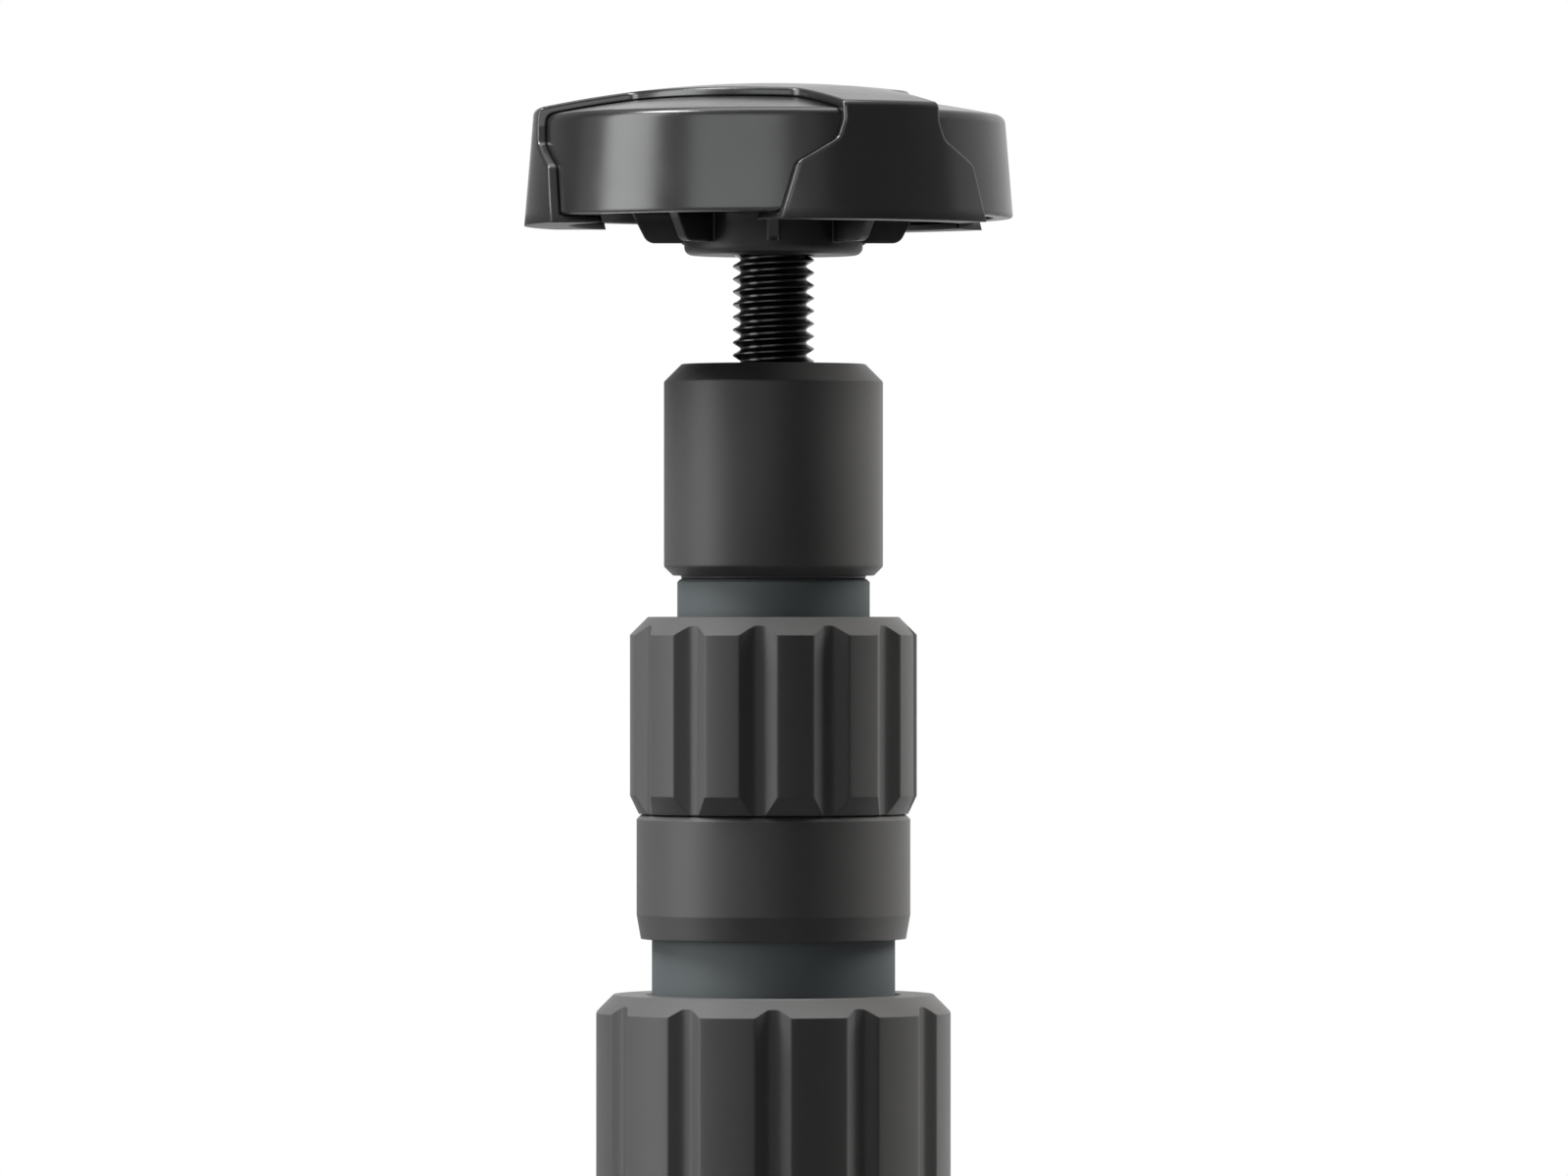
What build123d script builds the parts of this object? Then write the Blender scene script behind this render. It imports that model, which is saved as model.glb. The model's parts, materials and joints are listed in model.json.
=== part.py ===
from build123d import *
import os
from math import cos, degrees, radians, sin, sqrt, tan

# Compact camera tripod, standing with its legs open and its column nearly closed.
# The origin is on the floor, under the column's axis, and +Z runs up the column.
# The column has three tubes, the thinnest on top, held by two fluted twist locks.
# A three-arm hand knob on an M8 screw clamps a bracket against the column's end collar.
# All lengths are in millimetres and all angles in degrees.

# Fits and clearances
BOND_GAP = 0.05
RUNNING_GAP = 0.05
SLIDING_GAP = 0.08
FACE_GAP = 0.1
COVER_GAP = 0.04
MOUTH_GAP = 0.3
CUT_OVERRUN = 1.0

# Tubes, named from the thinnest at the top
INNER_TUBE_R = 9.5
MIDDLE_TUBE_R = 12.0
OUTER_TUBE_R = 14.5
TUBE_WALL = 1.2
INNER_TUBE_LENGTH = 200.0
INNER_FOOT_ROOM = 19.73
MIDDLE_FOOT_ROOM = 7.3
TUBE_EDGE = 0.3
KEY_GROOVE_WIDTH = 3.2
KEY_GROOVE_DEPTH = 0.45

# Guide shims on the tubes' lower ends
SHIM_LENGTH = 18.0
SHIM_TUBE_MARGIN = 1.5
SHIM_SPLIT = 0.6
KEY_GAP = 0.1
SHIM_PEG_R = 2.0
SHIM_PEG_DEPTH = 0.9

# Twist locks: what both have alike
FLUTES = 12
FLUTE_CURVE_R = 2.35
LAND_EDGE_R = 0.35
NUT_TOP_CHAMFER = 1.77
NUT_FOOT_INSET = 0.87
NUT_FOOT_RISE = 1.8
NUT_LIP = 1.3
NUT_MOUTH_CHAMFER = 0.3
FERRULE_TOP_CHAMFER = 0.43
FERRULE_TAPER_INSET = 0.42
FERRULE_TAPER_RISE = 2.37
FERRULE_SHOULDER = 1.5
COLLET_GRIP_ROOM = 0.95
COLLET_TAPER = 0.55
COLLET_LIP = 0.7
COLLET_LIP_HEIGHT = 2.4
COLLET_FOOT = 1.5
COLLET_SLITS = 6
COLLET_SLIT_WIDTH = 0.8
WIPER_HEIGHT = 1.9
WIPER_ROOM = 1.45

# Upper twist lock, between the inner and the middle tube
UPPER_NUT_R = 14.15
UPPER_NUT_HEIGHT = 19.4
UPPER_FLUTE_DEPTH = 0.95
UPPER_LAND_ANGLE = 9.0
UPPER_THREAD_R = 12.0
UPPER_FERRULE_R = 13.5
UPPER_FERRULE_HEIGHT = 12.2

# Lower twist lock, between the middle and the outer tube
LOWER_NUT_R = 17.55
LOWER_NUT_HEIGHT = 23.5
LOWER_FLUTE_DEPTH = 0.82
LOWER_LAND_ANGLE = 15.0
LOWER_THREAD_R = 14.9
LOWER_FERRULE_R = 16.9
LOWER_FERRULE_HEIGHT = 14.5

# Lengths of tube that show at rest
INNER_TUBE_SHOWS = 3.73
MIDDLE_TUBE_SHOWS = 5.5

# End collar on the inner tube
COLLAR_R = 10.8
COLLAR_HEIGHT = 20.87
COLLAR_TOP_CHAMFER = 1.75
COLLAR_FOOT_CHAMFER = 0.9
COLLAR_NECK_R = 9.1
COLLAR_NECK_HEIGHT = 0.33
COLLAR_PLUG_LENGTH = 15.0
COLLAR_PLUG_CHAMFER = 0.6
COLLAR_MOUTH_CHAMFER = 0.4

# Clamp screw
SCREW_R = 4.0
SCREW_ENGAGEMENT = 18.0
SCREW_TIP_CHAMFER = 0.8
SCREW_HEAD_R = 6.3
SCREW_HEAD_HEIGHT = 5.0
SCREW_HEAD_CHAMFER = 0.5
SCREW_HEAD_DEPTH = 6.5

# Hand knob: a domed cup with a boss and fins, under a three-arm cover
CLAMP_GAP = 10.7
KNOB_BOSS_R = 8.8
KNOB_BOSS_EDGE_R = 0.8
KNOB_RIM_ABOVE_BOSS = 3.65
KNOB_RIM_R = 23.63
KNOB_DRAFT = 4.65
KNOB_CROWN_ABOVE_RIM = 12.38
KNOB_CROWN_CURVE_R = 110.0
KNOB_EDGE_R = 0.95
EDGE_PASSES = 8
TOUCH = 0.001
KNOB_WALL = 1.9
KNOB_RIM_EDGE_R = 0.3
KNOB_FINS = 8
FIN_THICKNESS = 1.06
FIN_FOOT_ABOVE_BOSS = 1.2
FIN_FOOT_R = 12.45
FIN_SLOPE = 27.0
FIN_CORNER_R = 1.2
COVER_THICKNESS = 0.87
COVER_EDGE_R = 0.8
COVER_BAY_R = 24.0
COVER_BAY_MIDDLE = 13.4
COVER_OUTLINE_R = 0.35
COVER_CORNER_R = 2.0
COVER_ARMS = 3
COVER_ARM_ANGLE = -60.0
COVER_HOOK_THICKNESS = 0.75
COVER_HOOK_INNER_R = 20.3
ARM_TOP_HALF = 5.35
ARM_FLARE_TOP_HALF = 5.99
ARM_FLARE_TOP = 7.89
ARM_FLARE_FOOT_HALF = 9.82
ARM_FLARE_FOOT = 5.55
ARM_FOOT_HALF = 11.54
ARM_SIDE_CORNER_R = 1.25

# Legs: three, hinged under the hub
LEGS = 3
FIRST_LEG_ANGLE = 90.0
LEG_LENGTH = 178.0
LEG_OPEN_ANGLE = 62.0
LEG_HINGE_RADIUS = 15.0
LEG_EYE_R = 6.2
LEG_EYE_HALF_WIDTH = 4.65
LEG_ROOT_HALF_WIDTH = 7.0
LEG_TIP_HALF_WIDTH = 5.0
LEG_ROOT_HALF_DEPTH = 5.6
LEG_TIP_HALF_DEPTH = 4.2
LEG_EDGE_R = 1.4
LEG_HEEL_LENGTH = 6.0
LEG_HEEL_END = 20.0
LEG_WIDENS_FROM = 10.5
LEG_WIDENS_TO = 16.0
LEG_TENON_R = 3.6
LEG_TENON_LENGTH = 14.0
POCKET_START = 30.0
POCKET_TIP_MARGIN = 14.0
POCKET_HALF_WIDTH = 3.0
POCKET_DEPTH = 2.4

# Rubber feet
FOOT_R = 7.0
FOOT_AXIS_HEIGHT = 5.6
FOOT_REACH = 18.0
FOOT_COLLAR = 2.5
FOOT_COLLAR_R = 6.2
FOOT_END_GAP = 0.6

# Hinge screws and friction washers
HINGE_PIN_R = 2.5
HINGE_HEAD_R = 4.3
HINGE_HEAD_HEIGHT = 2.8
HINGE_HEAD_SEAT = 12.6
HINGE_SHOULDER_END = 9.0
HINGE_THREAD_R = 2.0
HINGE_THREAD_END = 14.0
HINGE_SOCKET_R = 1.45
HINGE_SOCKET_DEPTH = 1.6
WASHER_R = 5.4
WASHER_THICKNESS = 0.8

# Hub that carries the outer tube and the legs
HUB_R = 22.5
HUB_FOOT_CHAMFER = 2.0
HUB_BELOW_HINGE = 8.5
HUB_WEB = 4.0
HUB_SHOULDER_RISE = 3.0
HUB_NECK_R = 17.4
HUB_NECK_HEIGHT = 7.0
HUB_TOP_CHAMFER = 1.2
TUBE_SOCKET_DEPTH = 18.0
HUB_CORE_R = 8.2

# Bolt and plug that draw the outer tube into the hub
BOLT_R = 3.0
BOLT_HEAD_R = 4.9
BOLT_HEAD_HEIGHT = 6.0
BOLT_SEAT_HEIGHT = 7.2
BOLT_SOCKET_R = 2.8
BOLT_SOCKET_DEPTH = 3.4
BOLT_CLEARANCE = 0.25
BOLT_REACH = 8.0
TUBE_PLUG_HEIGHT = 11.0

# Lengths that follow: each tube takes in the thinner one with room under its foot
INNER_TUBE_RISE = FERRULE_SHOULDER + FACE_GAP + UPPER_NUT_HEIGHT + INNER_TUBE_SHOWS
MIDDLE_TUBE_RISE = FACE_GAP + LOWER_NUT_HEIGHT + MIDDLE_TUBE_SHOWS + UPPER_FERRULE_HEIGHT
MIDDLE_TUBE_LENGTH = INNER_TUBE_LENGTH - INNER_TUBE_RISE + INNER_FOOT_ROOM
OUTER_TUBE_LENGTH = MIDDLE_TUBE_LENGTH - MIDDLE_TUBE_RISE + MIDDLE_FOOT_ROOM + TUBE_PLUG_HEIGHT
LEG_BODY_LENGTH = LEG_LENGTH - FOOT_REACH

# Heights that follow, from the floor up
HINGE_Z = LEG_LENGTH * cos(radians(LEG_OPEN_ANGLE)) + FOOT_AXIS_HEIGHT
HUB_FOOT_Z = HINGE_Z - HUB_BELOW_HINGE
SLOT_ROOF_Z = HINGE_Z + LEG_EYE_R + FACE_GAP
SOCKET_FLOOR_Z = SLOT_ROOF_Z + HUB_WEB
HUB_TOP_Z = SOCKET_FLOOR_Z + TUBE_SOCKET_DEPTH
OUTER_TUBE_TOP_Z = SOCKET_FLOOR_Z + OUTER_TUBE_LENGTH
LOWER_LOCK_Z = OUTER_TUBE_TOP_Z + FERRULE_SHOULDER
LOWER_NUT_TOP_Z = LOWER_LOCK_Z + FACE_GAP + LOWER_NUT_HEIGHT
UPPER_LOCK_Z = LOWER_NUT_TOP_Z + MIDDLE_TUBE_SHOWS + UPPER_FERRULE_HEIGHT
UPPER_NUT_TOP_Z = UPPER_LOCK_Z + FACE_GAP + UPPER_NUT_HEIGHT
MIDDLE_TUBE_TOP_Z = UPPER_LOCK_Z - FERRULE_SHOULDER
INNER_TUBE_TOP_Z = UPPER_NUT_TOP_Z + INNER_TUBE_SHOWS
COLLAR_FOOT_Z = INNER_TUBE_TOP_Z + COLLAR_NECK_HEIGHT
COLLAR_TOP_Z = COLLAR_FOOT_Z + COLLAR_HEIGHT
KNOB_BOSS_Z = COLLAR_TOP_Z + CLAMP_GAP
KNOB_RIM_Z = KNOB_BOSS_Z + KNOB_RIM_ABOVE_BOSS
KNOB_CROWN_Z = KNOB_RIM_Z + KNOB_CROWN_ABOVE_RIM


def turned(points):
    """A solid turned about the Z axis from the (radius, height) corners of its section."""
    section = make_face(Polyline(*[(r, 0, z) for r, z in points], close=True))
    return revolve(section, Axis.Z)


def cylinder(radius, low, high):
    """A cylinder about the Z axis, between two heights."""
    return Pos(0, 0, low) * Cylinder(radius, high - low, align=(Align.CENTER, Align.CENTER, Align.MIN))


def ring(inner_r, outer_r, low, high):
    """A plain ring about the Z axis."""
    return turned([(inner_r, low), (outer_r, low), (outer_r, high), (inner_r, high)])


def around(count, first=0.0):
    """The turns about Z of a pattern of equal steps."""
    return [Rot(0, 0, first + 360.0 * i / count) for i in range(count)]


def write(name, *shapes):
    """Writes one node of the assembly, a single solid or a group of separate ones."""
    solids = [solid for shape in shapes for solid in shape.solids()]
    node = Compound(children=solids, label=name) if len(solids) > 1 else solids[0]
    export_step(node, f"parts/{name}.step")


# Hand knob


def domed_body(offset, edge_r, foot_z):
    """The knob's outer form, grown by an offset: a shallow dome, a rounded edge and a drafted skirt."""
    crown_z = KNOB_CROWN_Z + offset
    dome_r = KNOB_CROWN_CURVE_R + offset
    slope = tan(radians(KNOB_DRAFT))
    skirt_r = KNOB_RIM_R + offset / cos(radians(KNOB_DRAFT))
    foot_r = skirt_r + (KNOB_RIM_Z - foot_z) * slope
    edge_rad = foot_r
    for _ in range(EDGE_PASSES):
        edge_z = crown_z - dome_r + sqrt(dome_r**2 - edge_rad**2)
        edge_rad = skirt_r - (edge_z - KNOB_RIM_Z) * slope
    half = edge_rad / 2
    half_z = crown_z - dome_r + sqrt(dome_r**2 - half**2)
    crown = ThreePointArc((0, crown_z), (half, half_z), (edge_rad, edge_z))
    rest = Polyline((edge_rad, edge_z), (foot_r, foot_z), (0, foot_z), (0, crown_z))
    section = make_face([crown.edges()[0], *rest.edges()])
    corner = section.vertices().sort_by_distance((edge_rad, edge_z, 0))[0]
    section = fillet(corner, edge_r)
    return revolve(Plane.XZ * section, Axis.Z)


def knob_shell():
    """The moulded cup: dome, skirt, boss and radial fins, with the screw's head moulded into the boss."""
    cup = domed_body(0, KNOB_EDGE_R, KNOB_RIM_Z)
    cup = fillet(cup.edges().group_by(Axis.Z)[0], KNOB_RIM_EDGE_R)
    hollow = domed_body(-KNOB_WALL, KNOB_EDGE_R, KNOB_RIM_Z - CUT_OVERRUN)
    cup -= hollow
    core = domed_body(-KNOB_WALL / 2, KNOB_EDGE_R, KNOB_RIM_Z)
    boss = cylinder(KNOB_BOSS_R, KNOB_BOSS_Z, KNOB_CROWN_Z)
    boss = fillet(boss.edges().group_by(Axis.Z)[0], KNOB_BOSS_EDGE_R)
    reach = cylinder(KNOB_RIM_R, KNOB_BOSS_Z, KNOB_RIM_Z)
    inside = core + reach
    cup += boss & inside
    foot_z = KNOB_BOSS_Z + FIN_FOOT_ABOVE_BOSS
    rise = KNOB_CROWN_Z - foot_z
    head_r = FIN_FOOT_R + rise * tan(radians(FIN_SLOPE))
    outline = Polyline((0, foot_z), (FIN_FOOT_R, foot_z), (head_r, KNOB_CROWN_Z), (0, KNOB_CROWN_Z), close=True)
    blade = make_face(outline)
    blade = fillet(blade.vertices().sort_by_distance((FIN_FOOT_R, foot_z, 0))[0], FIN_CORNER_R)
    fin = extrude(Plane.XZ * blade, FIN_THICKNESS / 2, both=True)
    for turn in around(KNOB_FINS):
        cup += (turn * fin) & inside
    head_z = KNOB_BOSS_Z + SCREW_HEAD_DEPTH
    cup -= cylinder(SCREW_R + RUNNING_GAP, KNOB_BOSS_Z - CUT_OVERRUN, head_z)
    cup -= cylinder(SCREW_HEAD_R + RUNNING_GAP, head_z - RUNNING_GAP, head_z + SCREW_HEAD_HEIGHT + RUNNING_GAP)
    return cup


def arm_side(foot_z, shoulder_z, top_z):
    """The outline of one arm of the cover, seen from its end: narrow above, flared at the rim."""
    half = [
        (ARM_FOOT_HALF, foot_z),
        (ARM_FLARE_FOOT_HALF, foot_z + ARM_FLARE_FOOT),
        (ARM_FLARE_TOP_HALF, foot_z + ARM_FLARE_TOP),
        (ARM_TOP_HALF, shoulder_z),
        (ARM_TOP_HALF, top_z),
    ]
    mirrored = [(-t, z) for t, z in reversed(half)]
    side = make_face(Polyline(*half, *mirrored, close=True))
    return fillet([v for v in side.vertices() if foot_z + TOUCH < v.Y < top_z - TOUCH], ARM_SIDE_CORNER_R)


def on_both(edge, first, second):
    """Whether an edge runs along two shells at once, judged by its middle."""
    middle = edge @ 0.5
    return first.distance_to(middle) < TOUCH and second.distance_to(middle) < TOUCH


def knob_cover():
    """The three-arm cover: laid on the dome, with a flat bay between the arms, hooked round the rim."""
    foot_z = KNOB_RIM_Z - COVER_HOOK_THICKNESS
    reach = KNOB_RIM_R + COVER_THICKNESS + CUT_OVERRUN
    top_z = KNOB_CROWN_Z + COVER_THICKNESS + CUT_OVERRUN
    layer = domed_body(COVER_THICKNESS, COVER_EDGE_R, foot_z)
    skin = layer.shells()[0]
    layer -= domed_body(COVER_GAP, KNOB_EDGE_R, KNOB_RIM_Z - COVER_GAP)
    layer -= cylinder(COVER_HOOK_INNER_R, foot_z - CUT_OVERRUN, KNOB_RIM_Z)
    arms = around(COVER_ARMS, COVER_ARM_ANGLE)
    plan = Circle(reach)
    for turn in arms:
        plan &= turn * Pos(COVER_BAY_R - COVER_BAY_MIDDLE, 0) * Circle(COVER_BAY_R)
    for turn in arms:
        plan += turn * Pos(reach / 2, 0) * Rectangle(reach, 2 * ARM_TOP_HALF)
    inner = [v for v in plan.vertices() if Vector(v).length < KNOB_RIM_R]
    plan = fillet(inner, COVER_CORNER_R)
    shoulder_z = KNOB_CROWN_Z - KNOB_RIM_R**2 / (2 * KNOB_CROWN_CURVE_R) - KNOB_EDGE_R
    outline = Pos(0, 0, shoulder_z) * extrude(plan, top_z - shoulder_z)
    side = arm_side(foot_z, shoulder_z, top_z)
    for turn in arms:
        outline += turn * extrude(Plane.YZ * side, reach)
    cover = layer & outline
    walls = outline.shells()[0]
    upper = [e for e in cover.edges() if (e @ 0.5).Z > foot_z + TOUCH]
    return fillet([e for e in upper if on_both(e, skin, walls)], COVER_OUTLINE_R)


def clamp_screw():
    """The M8 screw: its head is held in the knob's boss and its shank runs down into the collar."""
    tip_z = COLLAR_TOP_Z - SCREW_ENGAGEMENT
    head_z = KNOB_BOSS_Z + SCREW_HEAD_DEPTH
    head_top = head_z + SCREW_HEAD_HEIGHT
    return turned([
        (0, tip_z),
        (SCREW_R - SCREW_TIP_CHAMFER, tip_z),
        (SCREW_R, tip_z + SCREW_TIP_CHAMFER),
        (SCREW_R, head_z),
        (SCREW_HEAD_R - SCREW_HEAD_CHAMFER, head_z),
        (SCREW_HEAD_R, head_z + SCREW_HEAD_CHAMFER),
        (SCREW_HEAD_R, head_top - SCREW_HEAD_CHAMFER),
        (SCREW_HEAD_R - SCREW_HEAD_CHAMFER, head_top),
        (0, head_top),
    ])


# Column


def end_collar():
    """The collar on the inner tube's top: a chamfered barrel, a short neck and a bonded plug."""
    bore_r = SCREW_R + RUNNING_GAP
    plug_r = INNER_TUBE_R - TUBE_WALL - BOND_GAP
    plug_z = INNER_TUBE_TOP_Z - COLLAR_PLUG_LENGTH
    return turned([
        (bore_r, plug_z),
        (plug_r - COLLAR_PLUG_CHAMFER, plug_z),
        (plug_r, plug_z + COLLAR_PLUG_CHAMFER),
        (plug_r, INNER_TUBE_TOP_Z),
        (COLLAR_NECK_R, INNER_TUBE_TOP_Z),
        (COLLAR_NECK_R, COLLAR_FOOT_Z),
        (COLLAR_R - COLLAR_FOOT_CHAMFER, COLLAR_FOOT_Z),
        (COLLAR_R, COLLAR_FOOT_Z + COLLAR_FOOT_CHAMFER),
        (COLLAR_R, COLLAR_TOP_Z - COLLAR_TOP_CHAMFER),
        (COLLAR_R - COLLAR_TOP_CHAMFER, COLLAR_TOP_Z),
        (bore_r + COLLAR_MOUTH_CHAMFER, COLLAR_TOP_Z),
        (bore_r, COLLAR_TOP_Z - COLLAR_MOUTH_CHAMFER),
    ])


def tube(radius, top_z, length, grooved, pegged):
    """One section of the column, with key grooves down its bore or peg holes near its foot, or both."""
    low = top_z - length
    bore_r = radius - TUBE_WALL
    body = turned([
        (bore_r, low),
        (radius - TUBE_EDGE, low),
        (radius, low + TUBE_EDGE),
        (radius, top_z - TUBE_EDGE),
        (radius - TUBE_EDGE, top_z),
        (bore_r, top_z),
    ])
    if grooved:
        groove = Box(KEY_GROOVE_WIDTH, 2 * (bore_r + KEY_GROOVE_DEPTH), 2 * length)
        body -= Pos(0, 0, low) * groove & cylinder(bore_r + KEY_GROOVE_DEPTH, low - CUT_OVERRUN, top_z + CUT_OVERRUN)
    if pegged:
        peg_z = low + SHIM_TUBE_MARGIN + SHIM_LENGTH / 2
        body -= Pos(0, 0, peg_z) * Rot(90, 0, 0) * Cylinder(SHIM_PEG_R + BOND_GAP, 3 * radius)
    return body


def guide_shims(tube_r, holder_r, tube_foot_z):
    """Two half shells round a tube's foot, keyed to the bore grooves of the tube that they slide in."""
    low = tube_foot_z + SHIM_TUBE_MARGIN
    bore_r = holder_r - TUBE_WALL
    shell = ring(tube_r + BOND_GAP, bore_r - SLIDING_GAP, low, low + SHIM_LENGTH)
    key_width = KEY_GROOVE_WIDTH - 2 * KEY_GAP
    key_ring = ring(tube_r + BOND_GAP, bore_r + KEY_GROOVE_DEPTH - KEY_GAP, low, low + SHIM_LENGTH)
    key_reach = Box(key_width, 4 * bore_r, SHIM_LENGTH, align=(Align.CENTER, Align.CENTER, Align.MIN))
    shell += key_ring & (Pos(0, 0, low) * key_reach)
    peg_ring = ring(tube_r - SHIM_PEG_DEPTH, tube_r + 2 * BOND_GAP, low, low + SHIM_LENGTH)
    peg = Pos(0, 0, low + SHIM_LENGTH / 2) * Rot(90, 0, 0) * Cylinder(SHIM_PEG_R, 4 * tube_r)
    shell += peg_ring & peg
    split = Box(4 * bore_r, SHIM_SPLIT, 3 * SHIM_LENGTH)
    return shell - Pos(0, 0, low) * split


def ferrule(slider_r, holder_r, radius, height, thread_r, lock_z, nut_height):
    """The bonded sleeve on a tube's top, with a threaded and coned spigot inside the nut."""
    low = lock_z - height
    seat_z = lock_z - FERRULE_SHOULDER
    collet_foot_r = slider_r + COLLET_GRIP_ROOM + FACE_GAP
    collet_top_r = collet_foot_r + COLLET_TAPER
    spigot_top = lock_z + spigot_height(nut_height)
    return turned([
        (holder_r + BOND_GAP, low),
        (radius - FERRULE_TAPER_INSET, low),
        (radius, low + FERRULE_TAPER_RISE),
        (radius, lock_z - FERRULE_TOP_CHAMFER),
        (radius - FERRULE_TOP_CHAMFER, lock_z),
        (thread_r, lock_z),
        (thread_r, spigot_top - TUBE_EDGE),
        (thread_r - TUBE_EDGE, spigot_top),
        (collet_top_r, spigot_top),
        (collet_foot_r, lock_z),
        (collet_foot_r, seat_z),
        (holder_r + BOND_GAP, seat_z),
    ])


def spigot_height(nut_height):
    """How far a ferrule's spigot reaches up inside its nut."""
    return nut_height - NUT_LIP - WIPER_HEIGHT - COLLET_LIP_HEIGHT - 2 * FACE_GAP


def collet(slider_r, lock_z, nut_height):
    """The split plastic cone that the nut presses onto the sliding tube."""
    inner_r = slider_r + RUNNING_GAP
    spigot_top = lock_z + spigot_height(nut_height)
    low = lock_z + COLLET_FOOT
    share = COLLET_FOOT / spigot_height(nut_height)
    low_r = slider_r + COLLET_GRIP_ROOM + COLLET_TAPER * share
    top_r = slider_r + COLLET_GRIP_ROOM + COLLET_TAPER
    lip_r = top_r + COLLET_LIP
    lip_z = spigot_top + FACE_GAP
    lip_top = lip_z + COLLET_LIP_HEIGHT - FACE_GAP
    body = turned([
        (inner_r, low),
        (low_r, low),
        (top_r, spigot_top),
        (top_r, lip_z),
        (lip_r, lip_z),
        (lip_r, lip_top - COLLET_LIP),
        (top_r, lip_top),
        (inner_r, lip_top),
    ])
    reach = lip_r + CUT_OVERRUN
    bar = Box(reach, COLLET_SLIT_WIDTH, lip_z - low + CUT_OVERRUN, align=(Align.MIN, Align.CENTER, Align.MAX))
    for turn in around(COLLET_SLITS):
        body -= turn * Pos(0, 0, lip_z) * bar
    full = Box(reach, COLLET_SLIT_WIDTH, 2 * nut_height, align=(Align.MIN, Align.CENTER, Align.MIN))
    return body - Pos(0, 0, low - CUT_OVERRUN) * full


def wiper(slider_r, lock_z, nut_height):
    """The rubber ring that keeps grit out of the lock, in the nut's groove."""
    high = lock_z + FACE_GAP + nut_height - NUT_LIP
    low = high - WIPER_HEIGHT
    outer_r = slider_r + WIPER_ROOM
    return turned([
        (slider_r + FACE_GAP, low + WIPER_HEIGHT / 2),
        (slider_r + MOUTH_GAP, low + FACE_GAP),
        (outer_r, low + FACE_GAP),
        (outer_r, high - FACE_GAP),
        (slider_r + MOUTH_GAP, high - FACE_GAP),
    ])


def lock_nut(slider_r, radius, height, flute_depth, land_angle, thread_r, lock_z):
    """The fluted nut: threaded below, with a pocket for the collet's lip and a groove for the wiper."""
    low = lock_z + FACE_GAP
    high = low + height
    lip_z = high - NUT_LIP
    groove_z = lip_z - WIPER_HEIGHT
    thread_top = groove_z - COLLET_LIP_HEIGHT - FACE_GAP
    lip_pocket_r = slider_r + COLLET_GRIP_ROOM + COLLET_TAPER + COLLET_LIP + FACE_GAP
    groove_r = slider_r + WIPER_ROOM + RUNNING_GAP
    mouth_r = slider_r + MOUTH_GAP
    barrel = turned([
        (thread_r + RUNNING_GAP, low),
        (radius - NUT_FOOT_INSET, low),
        (radius, low + NUT_FOOT_RISE),
        (radius, high - NUT_TOP_CHAMFER),
        (radius - NUT_TOP_CHAMFER, high),
        (mouth_r + NUT_MOUTH_CHAMFER, high),
        (mouth_r, high - NUT_MOUTH_CHAMFER),
        (mouth_r, lip_z),
        (groove_r, lip_z),
        (groove_r, groove_z),
        (lip_pocket_r, groove_z),
        (lip_pocket_r, thread_top),
        (thread_r + RUNNING_GAP, thread_top),
    ])
    section = Circle(radius)
    centre = radius - flute_depth + FLUTE_CURVE_R
    for turn in around(FLUTES, land_angle - 90 + 180 / FLUTES):
        section -= turn * Pos(centre, 0) * Circle(FLUTE_CURVE_R)
    section = fillet(section.vertices(), LAND_EDGE_R)
    return barrel & (Pos(0, 0, low) * extrude(section, height))


# Hub


def tube_plug():
    """The threaded plug bonded in the outer tube's foot."""
    radius = OUTER_TUBE_R - TUBE_WALL - BOND_GAP
    return ring(BOLT_R + BOND_GAP, radius, SOCKET_FLOOR_Z, SOCKET_FLOOR_Z + TUBE_PLUG_HEIGHT)


def hub_bolt():
    """The socket-head bolt from below that draws the plug and tube into the hub."""
    seat_z = HUB_FOOT_Z + BOLT_SEAT_HEIGHT
    head_z = seat_z - BOLT_HEAD_HEIGHT
    body = cylinder(BOLT_HEAD_R, head_z, seat_z)
    body = chamfer(body.edges().group_by(Axis.Z)[0], TUBE_EDGE)
    body += cylinder(BOLT_R, seat_z, SOCKET_FLOOR_Z + BOLT_REACH)
    socket = extrude(RegularPolygon(BOLT_SOCKET_R, 6), BOLT_SOCKET_DEPTH)
    return body - Pos(0, 0, head_z) * socket


def leg_turns():
    """Turns that carry a leg's piece from the +X side to each leg's place."""
    return around(LEGS, FIRST_LEG_ANGLE)


def along_hinge(radius, low, high):
    """A cylinder on the hinge axis of the leg on the +X side, between two distances along it."""
    body = Cylinder(radius, high - low, align=(Align.CENTER, Align.CENTER, Align.MIN))
    return Pos(LEG_HINGE_RADIUS, low, HINGE_Z) * Rot(-90, 0, 0) * body


def slot_half_width():
    """Half the width of a leg's slot: the leg's eye with a washer on each side."""
    return LEG_EYE_HALF_WIDTH + RUNNING_GAP + WASHER_THICKNESS


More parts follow.
